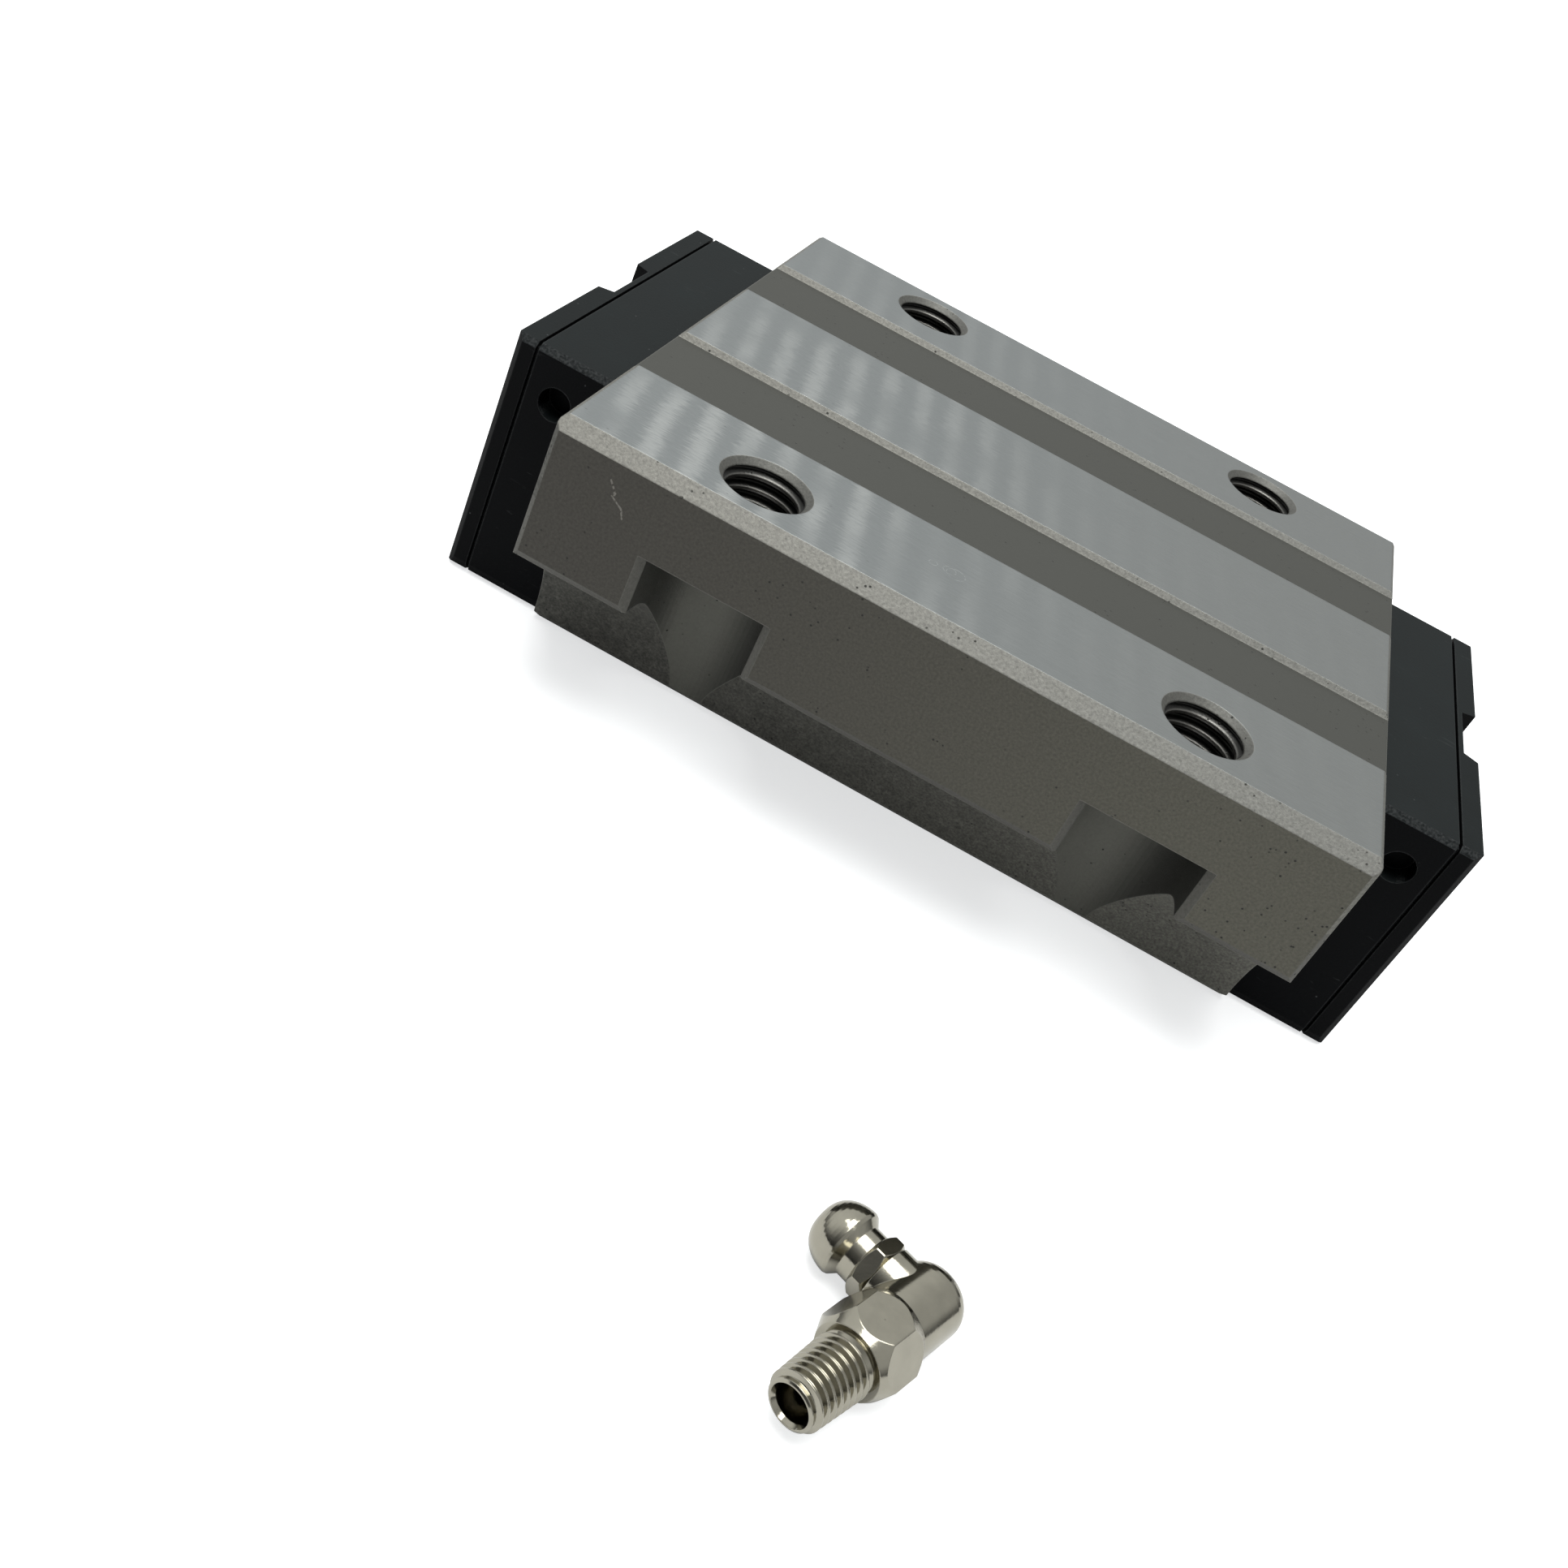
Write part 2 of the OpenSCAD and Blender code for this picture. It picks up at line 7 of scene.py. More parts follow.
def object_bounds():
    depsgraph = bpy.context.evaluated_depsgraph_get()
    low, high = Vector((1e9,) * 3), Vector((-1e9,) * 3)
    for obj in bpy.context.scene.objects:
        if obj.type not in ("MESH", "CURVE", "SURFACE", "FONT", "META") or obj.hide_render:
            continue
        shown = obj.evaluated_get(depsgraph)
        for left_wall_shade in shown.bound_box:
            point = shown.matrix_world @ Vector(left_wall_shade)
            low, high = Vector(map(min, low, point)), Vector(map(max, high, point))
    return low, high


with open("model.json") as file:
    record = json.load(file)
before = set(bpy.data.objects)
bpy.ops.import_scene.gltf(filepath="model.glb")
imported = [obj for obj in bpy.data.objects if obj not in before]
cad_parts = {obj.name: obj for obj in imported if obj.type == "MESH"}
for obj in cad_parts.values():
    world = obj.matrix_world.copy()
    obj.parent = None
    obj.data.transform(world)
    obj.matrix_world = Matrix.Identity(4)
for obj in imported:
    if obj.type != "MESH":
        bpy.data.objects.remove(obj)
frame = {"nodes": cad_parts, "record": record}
CAD_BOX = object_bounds()
MM = 0.001

nodes = frame["nodes"]
mounts = {m["name"]: m for m in frame["record"]["mounts"]}
bolts = mounts["table_bolts"]["dims"]
BOLT_X, BOLT_Y = bolts["spacing_x_mm"] / 2, bolts["spacing_y_mm"] / 2
BENCH_Z = CAD_BOX[0][2]


# ---- materials ---------------------------------------------------------------

class Shader:
    """One procedural material. Its methods add nodes and return output sockets."""

    def __init__(self, name):
        self.mat = bpy.data.materials.new(name)
        self.mat.use_nodes = True
        self.tree = self.mat.node_tree
        self.bsdf = self.tree.nodes["Principled BSDF"]
        self.point = self.add("ShaderNodeTexCoord").outputs["Object"]

    def plug(self, socket, value):
        if isinstance(value, bpy.types.NodeSocket):
            self.tree.links.new(value, socket)
        elif isinstance(value, (int, float)) and socket.type == "RGBA":
            socket.default_value = (value, value, value, 1)
        elif isinstance(value, (tuple, list)) and socket.type == "RGBA":
            socket.default_value = (*value[:3], 1)
        else:
            socket.default_value = value

    def add(self, kind, *values, **props):
        n = self.tree.nodes.new(kind)
        for key, value in props.items():
            setattr(n, key, value)
        for socket, value in zip(n.inputs, values):
            if value is not None:
                self.plug(socket, value)
        return n

    def set(self, **settings):
        for key, value in settings.items():
            self.plug(self.bsdf.inputs[key.replace("_", " ")], value)

    def math(self, op, a, b=0.0, clamp=False):
        return self.add("ShaderNodeMath", a, b, operation=op, use_clamp=clamp).outputs[0]

    def mul(self, first, *others):
        for other in others:
            first = self.math("MULTIPLY", first, other)
        return first

    def invert(self, value):
        return self.math("SUBTRACT", 1.0, value)

    def absolute(self, value):
        return self.math("ABSOLUTE", value)

    def dot(self, a, b):
        return self.add("ShaderNodeVectorMath", a, b, operation="DOT_PRODUCT").outputs["Value"]

    def axes(self, vector):
        return self.add("ShaderNodeSeparateXYZ", vector).outputs[:3]

    def stretched(self, x, y, z):
        """Object coordinates in millimetres, times a factor on each axis."""
        scale = (x / MM, y / MM, z / MM)
        return self.add("ShaderNodeVectorMath", self.point, scale,
                        operation="MULTIPLY").outputs["Vector"]

    def noise(self, scale=1.0, detail=2.0, rough=0.5, at=None, warp=0.0):
        """Noise whose scale is in features per millimetre."""
        at = at or self.stretched(1, 1, 1)
        n = self.add("ShaderNodeTexNoise")
        for key, value in (("Vector", at), ("Scale", scale), ("Detail", detail),
                           ("Roughness", rough), ("Distortion", warp)):
            self.plug(n.inputs[key], value)
        return n.outputs["Fac"]

    def cells(self, scale, at=None):
        """Distance to scattered points, with about one point per millimetre at scale 1."""
        n = self.add("ShaderNodeTexVoronoi", feature="F1")
        self.plug(n.inputs["Vector"], at or self.stretched(1, 1, 1))
        self.plug(n.inputs["Scale"], scale)
        self.plug(n.inputs["Randomness"], 1.0)
        return n.outputs["Distance"]

    def step(self, value, low, high, a=0.0, b=1.0):
        """Smooth step from a at low to b at high."""
        n = self.add("ShaderNodeMapRange", value, low, high, a, b,
                     interpolation_type="SMOOTHSTEP")
        return n.outputs["Result"]

    def fall(self, value, low, high):
        """Smooth step from one at low to nothing at high."""
        return self.step(value, low, high, 1.0, 0.0)

    def band(self, value, low, high, soft):
        """One between low and high, nothing outside, with soft borders."""
        return self.mul(self.step(value, low - soft, low + soft),
                        self.fall(value, high - soft, high + soft))

    def mix(self, fac, a, b):
        n = self.add("ShaderNodeMix", data_type="RGBA")
        for socket, value in ((n.inputs[0], fac), (n.inputs[6], a), (n.inputs[7], b)):
            self.plug(socket, value)
        return n.outputs[2]

    def lerp(self, fac, a, b):
        n = self.add("ShaderNodeMix", data_type="FLOAT")
        for socket, value in ((n.inputs[0], fac), (n.inputs[2], a), (n.inputs[3], b)):
            self.plug(socket, value)
        return n.outputs[0]

    def tint(self, color, factor):
        """A colour times a factor."""
        n = self.add("ShaderNodeVectorMath", color, operation="SCALE")
        self.plug(n.inputs["Scale"], factor)
        return n.outputs["Vector"]

    def uneven(self, color, pattern, gain, base):
        """A colour times base + gain x pattern."""
        return self.tint(color, self.math("ADD", self.mul(pattern, gain), base))

    def stroke(self, u, v, points, width):
        """A mask of a thin line through the points, in the plane of u and v."""
        best = None
        for (u0, v0), (u1, v1) in zip(points, points[1:]):
            long2 = (u1 - u0) ** 2 + (v1 - v0) ** 2
            du, dv = self.math("SUBTRACT", u, u0), self.math("SUBTRACT", v, v0)
            t = self.math("ADD", self.mul(du, (u1 - u0) / long2),
                          self.mul(dv, (v1 - v0) / long2), clamp=True)
            eu = self.math("SUBTRACT", du, self.mul(t, u1 - u0))
            ev = self.math("SUBTRACT", dv, self.mul(t, v1 - v0))
            d = self.length(eu, ev)
            best = d if best is None else self.math("MINIMUM", best, d)
        return self.fall(best, width * 0.5, width)

    def length(self, a, b):
        return self.math("SQRT", self.math("ADD", self.mul(a, a), self.mul(b, b)))

    def bump(self, height, distance_mm, strength=1.0, normal=None):
        n = self.add("ShaderNodeBump")
        self.plug(n.inputs["Strength"], strength)
        self.plug(n.inputs["Distance"], distance_mm * MM)
        self.plug(n.inputs["Height"], height)
        if normal is not None:
            self.plug(n.inputs["Normal"], normal)
        return n.outputs["Normal"]

    def true_normal(self):
        return self.add("ShaderNodeNewGeometry").outputs["True Normal"]

    def rounded(self, radius_mm, samples=6):
        """A normal that rolls over sharp edges, and a mask of those edges."""
        n = self.add("ShaderNodeBevel", radius_mm * MM, samples=samples)
        edge = self.fall(self.dot(n.outputs["Normal"], self.true_normal()), 0.7, 0.985)
        return n.outputs["Normal"], edge


# the block's places and sizes, in millimetres from its frame's origin
HALF_WIDTH = 45.0
LEFT_END, RIGHT_END = -47.0, 47.0
POCKET_TOP, POCKET_R = -9.85, 7.0
COUNTERSINK_R = 5.35
FLANGE_BOTTOM = -17.2

# the bands across the strips: their spacing, and how far they lean from square
CHATTER_PITCH, CHATTER_SLANT = 4.6, 0.19

# a scratch on the near side, as x and z, and arcs on the near strip, as x, y and radius
SCRATCH = [(-39.3, -3.6), (-38.5, -4.6), (-38.6, -5.2), (-37.3, -6.0), (-36.9, -6.9)]
ARCS = [(-6.9, -33.4, 0.5), (-5.0, -33.2, 0.75), (-4.2, -33.4, 1.1)]


def block_regions(s, place, normal):
    """Masks of the block's faces, from where they are and which way they face."""
    px, py, pz = place
    nx, ny, nz = normal
    out_y = s.absolute(py)
    off_x = s.math("SUBTRACT", s.absolute(px), BOLT_X)
    off_y = s.math("SUBTRACT", out_y, BOLT_Y)
    off = s.length(off_x, off_y)
    inward = s.length(off_x, s.math("MINIMUM", off_y, 0.0))
    below = s.fall(pz, POCKET_TOP + 0.05, POCKET_TOP + 0.15)

    m = {}
    up = s.step(nz, 0.93, 0.985)
    m["strip"] = s.mul(up, s.step(pz, -0.35, -0.15))
    m["groove"] = s.mul(up, s.band(pz, -1.0, -0.4, 0.05))
    m["slope"] = s.mul(s.band(nz, 0.45, 0.9, 0.04), s.step(pz, -2.2, -1.9))
    m["side"] = s.mul(s.step(s.absolute(ny), 0.96, 0.99),
                      s.step(out_y, HALF_WIDTH - 0.8, HALF_WIDTH - 0.4))
    m["hole"] = s.mul(s.fall(off, COUNTERSINK_R + 0.05, COUNTERSINK_R + 0.1),
                      s.step(pz, POCKET_TOP - 0.05, POCKET_TOP + 0.05),
                      s.fall(pz, -0.05, -0.02))
    m["countersink"] = s.mul(m["hole"], s.step(pz, -0.8, -0.74))
    m["crest"] = s.mul(m["hole"], s.fall(off, 4.2, 4.5))
    m["pocket"] = s.mul(s.fall(inward, POCKET_R + 0.03, POCKET_R + 0.07), below)
    m["under"] = s.mul(s.band(nz, -0.8, -0.25, 0.1),
                       s.step(pz, FLANGE_BOTTOM - 0.4, FLANGE_BOTTOM - 0.2),
                       s.step(out_y, HALF_WIDTH - 0.9, HALF_WIDTH - 0.7))
    m["brink"] = s.mul(s.band(s.absolute(nx), 0.5, 0.9, 0.05),
                       s.step(out_y, HALF_WIDTH - 1.1, HALF_WIDTH - 0.9), below)
    return m


def chatter_bands(s, px, py, frayed):
    """Bands that the grinding wheel left across the strips, fading to the right and the back."""
    patch = s.noise(0.075, 1.0, 0.5)
    wander = s.noise(0.07, 1.0, 0.5)
    turn = 2 * math.pi / CHATTER_PITCH
    phase = s.math("ADD", s.mul(px, turn), s.mul(py, turn * CHATTER_SLANT))
    phase = s.math("ADD", phase, s.mul(wander, 1.6))
    wave = s.math("ADD", s.mul(s.math("SINE", phase), 0.2), frayed)
    fade = s.mul(s.step(px, -26.0, 14.0, 1.0, 0.12), s.step(px, LEFT_END, -38.0, 0.7, 1.0),
                 s.step(py, -15.0, 30.0, 1.0, 0.3))
    return s.mul(s.step(wave, 0.3, 0.78), s.step(patch, 0.3, 0.62, 0.2, 1.0), fade)


def block_steel():
    """Ground strips, milled sides, blasted chamfers and threads of the block."""
    s = Shader("block_steel")
    px, py, pz = place = s.axes(s.stretched(1, 1, 1))
    nx, ny, nz = normal = s.axes(s.true_normal())
    on = block_regions(s, place, normal)
    strip, groove, hole = on["strip"], on["groove"], on["hole"]
    not_strip = s.invert(strip)

    # grinding lines, grain, specks and short dashes
    lines = s.noise(1.0, 3.0, 0.6, at=s.stretched(0.16, 9.0, 9.0))
    fine = s.noise(1.0, 2.0, 0.7, at=s.stretched(1.1, 5.0, 5.0))
    frayed = s.noise(1.0, 3.0, 0.65, at=s.stretched(0.55, 4.0, 4.0))
    grain = s.noise(3.2, 3.0, 0.65)
    blotch = s.noise(0.8, 3.0, 0.65)
    chatter = chatter_bands(s, px, py, frayed)
    crowd = s.step(px, 20.0, 42.0, 0.0, 0.1)
    speck = s.mul(s.fall(s.cells(1.0), 0.08, 0.17),
                  s.step(s.math("ADD", s.noise(0.3, 1.0), crowd), 0.5, 0.62))
    speck = s.mul(speck, not_strip)
    dash = s.mul(s.fall(s.cells(1.0, at=s.stretched(0.3, 0.85, 0.85)), 0.03, 0.075), strip,
                 s.step(px, -30.0, 5.0, 0.8, 0.1), s.step(s.noise(0.16, 1.0), 0.45, 0.6))
    along = s.step(px, LEFT_END, RIGHT_END)

    # one colour for each kind of face
    strip_color = s.mix(chatter, (0.225, 0.241, 0.243), (0.345, 0.358, 0.354))
    # painted shade: the strips darker towards the right, standing in for a dimmer reflection
    # there
    strip_color = s.mix(s.step(px, -25.0, 40.0, 0.0, 0.6), strip_color, (0.222, 0.229, 0.222))
    strip_color = s.uneven(s.uneven(strip_color, lines, 0.3, 0.85), fine, 0.2, 0.9)
    slope_color = s.mix(along, (0.182, 0.179, 0.162), (0.155, 0.155, 0.143))
    slope_color = s.uneven(slope_color, grain, 1.3, 0.35)
    side_color = s.mix(along, (0.058, 0.0545, 0.047), (0.1, 0.0965, 0.078))
    side_color = s.uneven(side_color, grain, 1.0, 0.5)
    low_color = s.mix(along, (0.076, 0.075, 0.066), (0.14, 0.138, 0.12))
    low_color = s.uneven(low_color, s.math("SUBTRACT", blotch, 0.5), s.lerp(along, 1.2, 0.3), 1.0)
    low_color = s.uneven(low_color, grain, 1.8, 0.1)
    # painted shade in the bolt pockets: walls darker by which way they face, and the left
    # pocket's leftmost wall darker still
    left_wall_shade = s.lerp(s.step(px, -5.0, 5.0), s.step(nx, 0.55, 0.95, 1.0, 0.45), 1.0)
    pocket_shade = s.mul(s.step(nx, -0.85, 0.1, 0.25, 1.0), left_wall_shade)
    pocket_color = s.tint(s.uneven((0.13, 0.13, 0.113), grain, 0.3, 0.85), pocket_shade)

    # the colours are laid over one another, from the lower body up to the specks
    color = low_color
    for mask, paint in (
            (on["pocket"], pocket_color),
            (on["under"], s.uneven((0.084, 0.082, 0.073), grain, 0.8, 0.6)),
            (on["brink"], s.uneven((0.1, 0.098, 0.087), grain, 0.8, 0.6)),
            (on["side"], side_color),
            (groove, s.uneven((0.054, 0.055, 0.0485), fine, 0.12, 0.94)),
            (on["slope"], slope_color),
            (strip, strip_color),
            # painted shade in the threaded bore, lighter on the thread crests
            (hole, (0.035, 0.035, 0.033)),
            (on["crest"], (0.19, 0.187, 0.175)),
            (on["countersink"], s.uneven((0.12, 0.12, 0.11), grain, 1.0, 0.5)),
            (dash, (0.1, 0.105, 0.105)),
            (speck, (0.025, 0.025, 0.022))):
        color = s.mix(mask, color, paint)

    shake = s.mul(s.math("SUBTRACT", s.noise(2.0, 2.0), 0.5), 0.5)
    scratch = s.stroke(s.math("ADD", px, shake), s.math("SUBTRACT", pz, shake), SCRATCH, 0.14)
    scratch = s.mul(scratch, s.step(s.noise(2.6, 2.0), 0.36, 0.5), on["side"],
                    s.fall(ny, -0.9, -0.8))
    color = s.mix(s.mul(scratch, 0.75), color, (0.2, 0.19, 0.17))
    for cx, cy, radius in ARCS:
        away = s.length(s.math("SUBTRACT", px, cx), s.math("SUBTRACT", py, cy))
        arc = s.mul(s.band(away, radius - 0.05, radius + 0.05, 0.04), strip,
                    s.step(frayed, 0.45, 0.55))
        color = s.mix(s.mul(arc, 0.4), color, (0.5, 0.52, 0.52))

    soft, edge = s.rounded(0.28)
    # edges painted lighter: partly wear, partly a painted edge highlight
    wear_and_edge_highlight = s.mul(edge, s.invert(s.mul(hole, 0.6)), 0.7)
    color = s.mix(wear_and_edge_highlight, color, (0.25, 0.245, 0.225))

    rough = s.lerp(strip, 0.62, s.lerp(chatter, 0.36, 0.46))
    rough = s.lerp(groove, rough, 0.55)
    rough = s.lerp(hole, rough, s.lerp(on["countersink"], 0.33, 0.55))
    metal = s.lerp(strip, 0.55, 0.82)
    metal = s.lerp(hole, metal, s.lerp(on["countersink"], 0.95, 0.6))

    blasted = s.invert(s.math("MAXIMUM", strip, groove))
    height = s.math("ADD", s.mul(grain, blasted), s.mul(lines, strip, 0.3))
    height = s.math("SUBTRACT", height, speck)
    s.set(Base_Color=color, Roughness=rough, Metallic=metal,
          Normal=s.bump(height, 0.05, 0.8, soft))
    return s.mat


def moulded(name, color, lit_top_color, rough, grain_scale=2.5, dust=0.5, wear=(0.085, 0.09, 0.092)):
    """Moulded plastic: fine texture, painted top light (upward faces lighter), small scuffs and
    rubbed edges.
    """
    s = Shader(name)
    fine = s.noise(grain_scale, 3.0, 0.6)
    cloud = s.noise(0.12, 3.0, 0.6)
    specks = s.mul(s.fall(s.cells(0.55), 0.03, 0.08), s.step(s.noise(0.3, 1.0), 0.5, 0.6))
    scuff = s.noise(1.0, 2.0, 0.6, at=s.stretched(0.35, 2.6, 2.6), warp=0.6)
    scuff = s.mul(s.step(scuff, 0.66, 0.74), s.step(cloud, 0.5, 0.7))
    soft, edge = s.rounded(0.3)
    upward = s.axes(s.true_normal())[2]
    rubbed = s.mul(s.band(upward, 0.55, 0.85, 0.08), s.step(s.noise(3.5, 3.0), 0.3, 0.75))
    # painted top light: upward faces get the lighter colour, standing in for light from above
    base = s.mix(s.step(upward, 0.3, 0.95), color, lit_top_color)
    base = s.uneven(base, cloud, 0.7, 0.65)
    for mark in (s.mul(specks, dust), s.mul(scuff, 0.25), s.mul(edge, fine, 0.75),
                 s.mul(rubbed, 0.35)):
        base = s.mix(mark, base, wear)
    s.set(Base_Color=base, Specular_IOR_Level=0.055,
          Roughness=s.math("ADD", s.mul(cloud, 0.18), rough - 0.09),
          Normal=s.bump(fine, 0.03, 0.6, soft))
    return s.mat


def nickel_brass():
    """Plated, turned surface: fine grain, small pits and stains."""
    s = Shader("nickel_brass")
    cloud = s.noise(0.5, 3.0, 0.6)
    fine = s.noise(4.0, 2.0, 0.6)
    pits = s.mul(s.fall(s.cells(1.1), 0.05, 0.1), s.step(s.noise(0.6, 1.0), 0.52, 0.62))
    soft, _ = s.rounded(0.12)
    base = s.uneven((0.37, 0.352, 0.292), cloud, 0.3, 0.85)
    base = s.mix(s.mul(pits, 0.5), base, (0.12, 0.1, 0.08))
    s.set(Base_Color=base, Metallic=1.0,
          Roughness=s.math("ADD", s.mul(cloud, 0.16), 0.06),
          Normal=s.bump(fine, 0.012, 0.5, soft))
    return s.mat


def bright_steel(name, color, rough, metal=1.0):
    """Plain steel with faint clouding, for balls, screws and springs."""
    s = Shader(name)
    cloud = s.noise(0.8, 3.0, 0.6)
    fine = s.noise(6.0, 2.0, 0.5)
    soft, _ = s.rounded(0.1, 4)
    s.set(Base_Color=s.uneven(color, cloud, 0.3, 0.85), Metallic=metal,
          Roughness=s.math("ADD", s.mul(cloud, 0.12), rough - 0.05),
          Normal=s.bump(fine, 0.006, 0.5, soft))
    return s.mat


def floor_paper():
    """Pale paper that glows, most for the camera and least in reflections."""
    s = Shader("floor_paper")
    fibre = s.noise(0.02, 3.0, 0.6)
    ray = s.add("ShaderNodeLightPath").outputs
    glow = s.lerp(ray["Is Camera Ray"], s.lerp(ray["Is Glossy Ray"], 0.42, 0.08), 0.66)
    s.set(Base_Color=s.uneven((0.6, 0.605, 0.61), fibre, 0.02, 0.99),
          Roughness=0.9, Specular_IOR_Level=0.1,
          Emission_Color=(0.98, 0.99, 1.0), Emission_Strength=glow,
          Normal=s.bump(s.noise(1.5), 0.02, 0.2))
    return s.mat


# plastics: colour, the lighter colour painted on upward faces as painted top light, and
# roughness, then grain, dust and the colour of wear where they differ from the usual
PLASTICS = {
    "cap_plastic": ((0.0018, 0.0021, 0.0026), (0.0095, 0.0118, 0.0122), 0.5),
    "seal_plate": ((0.0022, 0.0024, 0.0028), (0.0088, 0.0108, 0.0112), 0.52),
    "seal_rubber": ((0.005, 0.005, 0.005), (0.01, 0.01, 0.01), 0.68, 4.0),
    "retainer_plastic": ((0.012, 0.013, 0.014), (0.02, 0.022, 0.023), 0.55),
    "guide_plastic": ((0.55, 0.53, 0.46), (0.6, 0.58, 0.5), 0.5, 2.0, 0.2, (0.75, 0.74, 0.7)),
}

# plain steels: colour and roughness, then the metallic value where it isn't 1
STEELS = {
    "screw_steel": ((0.05, 0.05, 0.053), 0.36, 0.85),
    "ball_steel": ((0.62, 0.63, 0.64), 0.1),
    "spring_steel": ((0.45, 0.45, 0.47), 0.28),
}

FINISH = {"ground_steel": block_steel(), "nickel_brass": nickel_brass()}
FINISH.update((name, moulded(name, *look)) for name, look in PLASTICS.items())
FINISH.update((name, bright_steel(name, *look)) for name, look in STEELS.items())


SMOOTH_LIMIT = 24  # degrees between two faces that are still shaded as one


def smooth_shading(limit_degrees):
    """A node group that shades shallow edges smooth and keeps the others sharp."""
    group = bpy.data.node_groups.new("smooth_shading", "GeometryNodeTree")
    group.interface.new_socket("Geometry", in_out="INPUT", socket_type="NodeSocketGeometry")
    group.interface.new_socket("Geometry", in_out="OUTPUT", socket_type="NodeSocketGeometry")
    start, end = group.nodes.new("NodeGroupInput"), group.nodes.new("NodeGroupOutput")
    faces, edges = (group.nodes.new("GeometryNodeSetShadeSmooth") for _ in range(2))
    faces.domain, edges.domain = "FACE", "EDGE"
    angle = group.nodes.new("GeometryNodeInputMeshEdgeAngle")
    sharp = group.nodes.new("FunctionNodeCompare")
    sharp.data_type, sharp.operation = "FLOAT", "GREATER_THAN"
    sharp.inputs[1].default_value = math.radians(limit_degrees)
    edges.inputs["Shade Smooth"].default_value = False
    for out, into in ((start.outputs[0], faces.inputs["Geometry"]),
                      (faces.outputs[0], edges.inputs["Geometry"]),
                      (angle.outputs["Unsigned Angle"], sharp.inputs[0]),
                      (sharp.outputs[0], edges.inputs["Selection"]),
                      (edges.outputs[0], end.inputs[0])):
        group.links.new(out, into)
    return group


SMOOTH = smooth_shading(SMOOTH_LIMIT)
for part in frame["record"]["subparts"]:
    obj = nodes[part["node"]]
    obj.modifiers.new("smooth_shading", "NODES").node_group = SMOOTH
    obj.data.materials.clear()
    obj.data.materials.append(FINISH[part["material_slot"]])


# ---- stage, light and camera ---------------------------------------------------

FLOOR_SIZE = 40.0  # metres; far wider than the view
FLOOR_GAP = 0.05 * MM

# the lamp above the bench
LAMP_AT = (-0.1, -0.05, 1.1)
LAMP_SIZE = (1.0, 0.8)
LAMP_WATTS = 16
LAMP_COLOR = (1.0, 1.0, 0.985)

# brightness of the studio, from the left to the right of the carriage
SKY_BACK, SKY_FRONT = (0.95, 0.62), (0.1, 0.6)
SKY_COLOR = (0.985, 1.0, 0.99, 1)
WHITE = (1, 1, 1, 1)

# the camera looks at the carriage from its near side, rolled as in the reference view
AZIMUTH, ELEVATION, ROLL = (math.radians(a) for a in (-3.66, 34.82, 27.03))
FOV = math.radians(50.93)
DISTANCE = 0.20015
AIM = Vector((-0.0107, -0.0274, -0.0383))
SENSOR_MM = 36.0


def plane(name, size, location):
    mesh = bpy.data.meshes.new(name)
    h = size / 2
    mesh.from_pydata([(-h, -h, 0), (h, -h, 0), (h, h, 0), (-h, h, 0)], [], [(0, 1, 2, 3)])
    o = bpy.data.objects.new(name, mesh)
    o.location = location
    bpy.context.scene.collection.objects.link(o)
    return o


floor = plane("floor", FLOOR_SIZE, (0, 0, BENCH_Z - FLOOR_GAP))
floor.data.materials.append(floor_paper())


def area_light(name, location, target, size, power, color):
    lamp = bpy.data.lights.new(name, "AREA")
    lamp.shape = "RECTANGLE"
    lamp.size, lamp.size_y = size
    lamp.energy = power
    lamp.color = color
    o = bpy.data.objects.new(name, lamp)
    o.location = location
    o.rotation_euler = (Vector(target) - Vector(location)).to_track_quat("-Z", "Y").to_euler()
    bpy.context.scene.collection.objects.link(o)


area_light("overhead", LAMP_AT, (0, 0, 0), LAMP_SIZE, LAMP_WATTS, LAMP_COLOR)


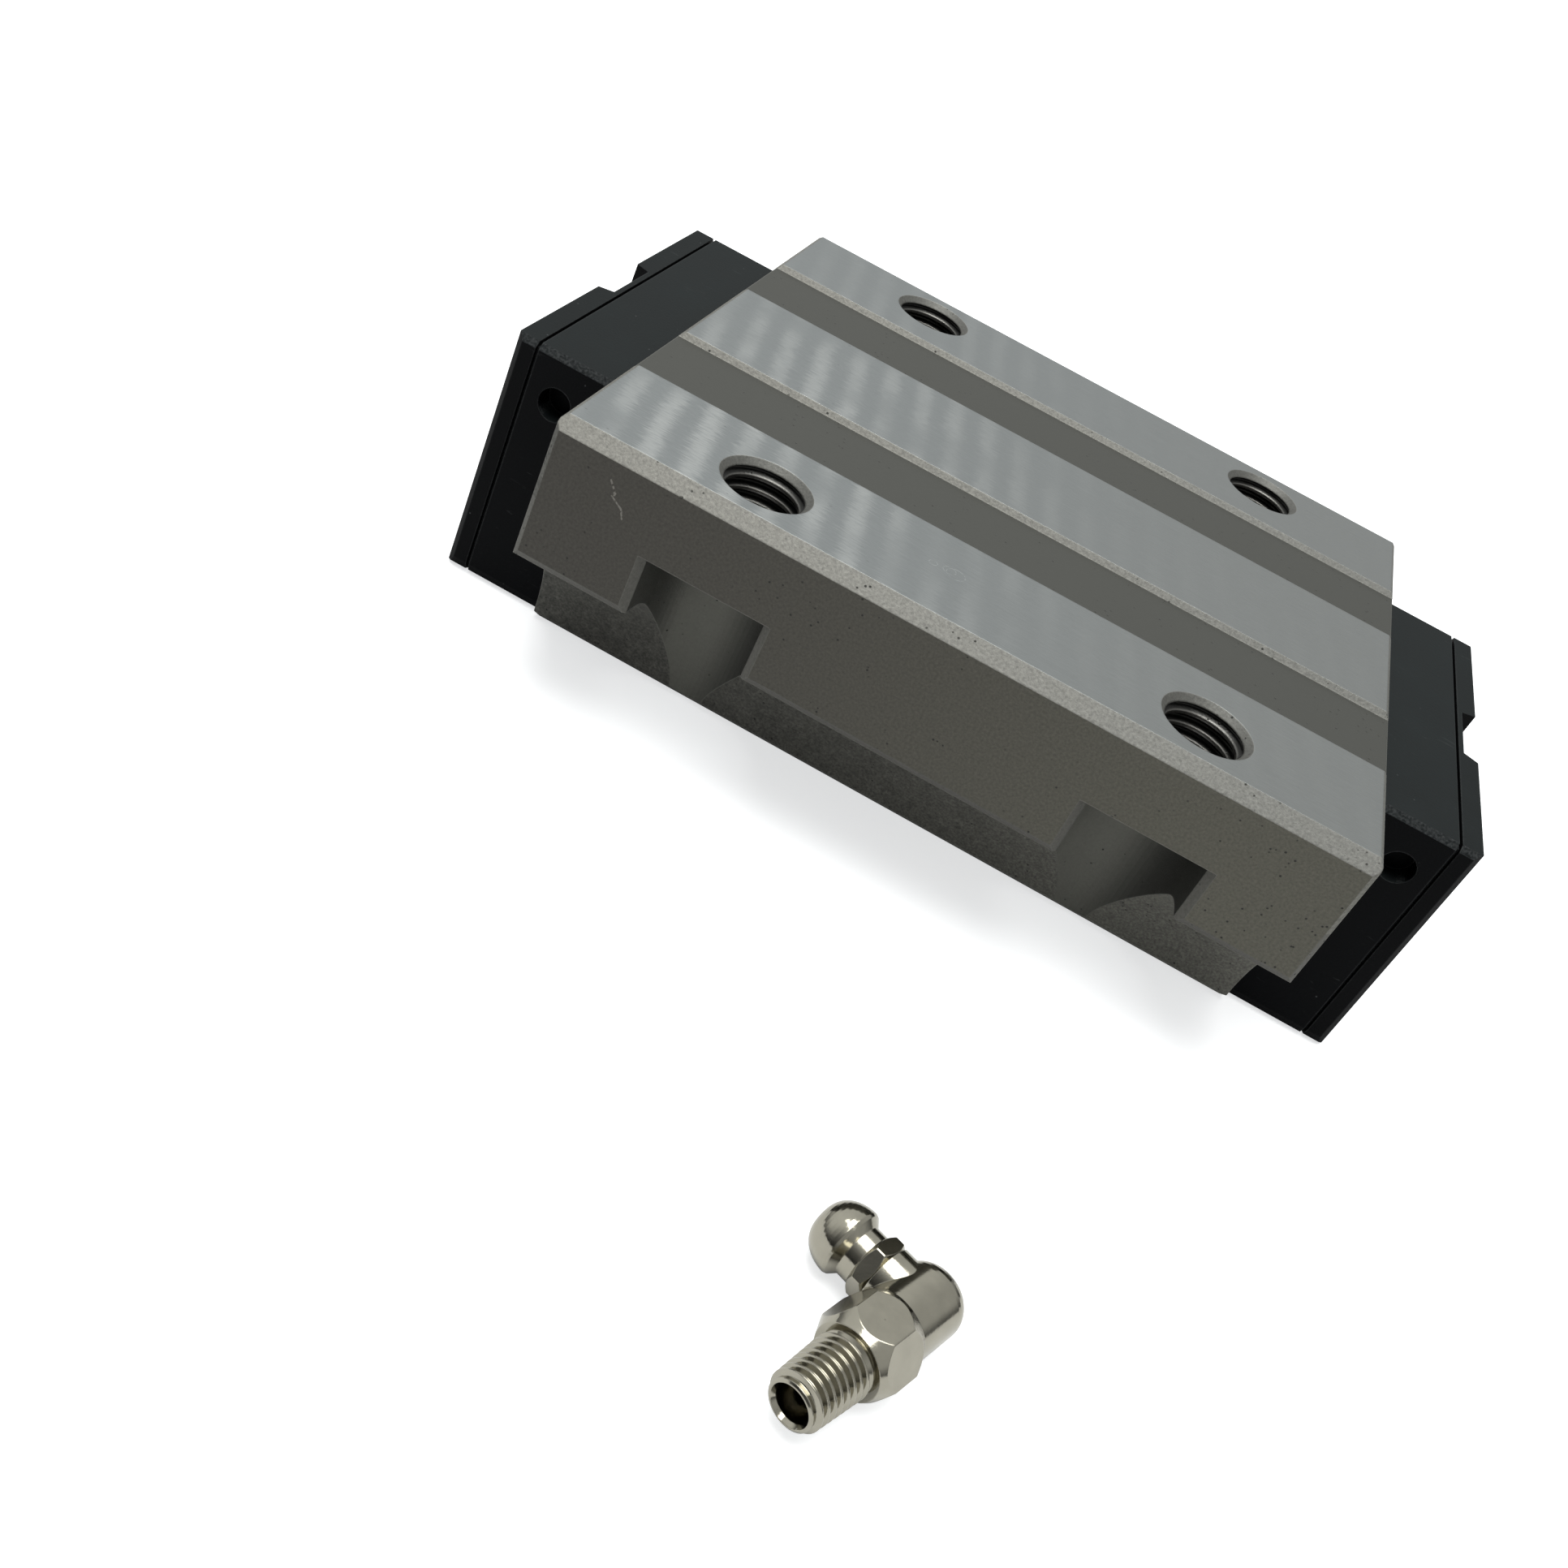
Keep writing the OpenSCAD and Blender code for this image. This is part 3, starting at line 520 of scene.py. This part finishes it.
def room():
    """White to the camera. Other rays see a soft studio: bright above, dim on the near side."""
    w = bpy.data.worlds.new("room")
    w.use_nodes = True
    tree = w.node_tree
    tree.nodes.clear()

    def add(kind, *values, **props):
        n = tree.nodes.new(kind)
        for key, value in props.items():
            setattr(n, key, value)
        for socket, value in zip(n.inputs, values):
            if isinstance(value, bpy.types.NodeSocket):
                tree.links.new(value, socket)
            elif value is not None:
                socket.default_value = value
        return n.outputs

    def smooth(value, low, high, a, b):
        return add("ShaderNodeMapRange", value, low, high, a, b,
                   interpolation_type="SMOOTHSTEP")["Result"]

    def math_node(op, a, b):
        return add("ShaderNodeMath", a, b, operation=op)[0]

    ray = add("ShaderNodeTexCoord")["Generated"]
    dx, dy, dz = add("ShaderNodeSeparateXYZ", ray)[:3]
    back = smooth(dx, -0.6, 0.6, *SKY_BACK)
    front = smooth(dx, -0.6, 0.6, *SKY_FRONT)
    around = add("ShaderNodeMix", smooth(dy, -0.75, 0.1, 0.0, 1.0), None, front, back)[0]
    level = math_node("MULTIPLY", smooth(dz, -0.02, 0.42, 0.15, 1.0), around)
    sky = add("ShaderNodeBackground", SKY_COLOR, level)[0]
    plain = add("ShaderNodeBackground", WHITE, 1.0)[0]
    seen = add("ShaderNodeLightPath")["Is Camera Ray"]
    mixed = add("ShaderNodeMixShader", seen, sky, plain)[0]
    surface = tree.nodes.new("ShaderNodeOutputWorld")
    tree.links.new(mixed, surface.inputs["Surface"])
    return w


bpy.context.scene.world = room()
bpy.context.scene.view_settings.view_transform = "Standard"

cam_data = bpy.data.cameras.new("camera")
cam_data.sensor_width = SENSOR_MM
cam_data.lens = SENSOR_MM / 2 / math.tan(FOV / 2)
cam_data.clip_start = 0.01
camera = bpy.data.objects.new("camera", cam_data)
turn = (Matrix.Rotation(-AZIMUTH, 4, "Z") @ Matrix.Rotation(math.pi / 2 - ELEVATION, 4, "X")
        @ Matrix.Rotation(ROLL, 4, "Z"))
camera.matrix_world = (Matrix.Translation(AIM) @ turn
                       @ Matrix.Translation((0, 0, DISTANCE)))
bpy.context.scene.collection.objects.link(camera)
bpy.context.scene.camera = camera
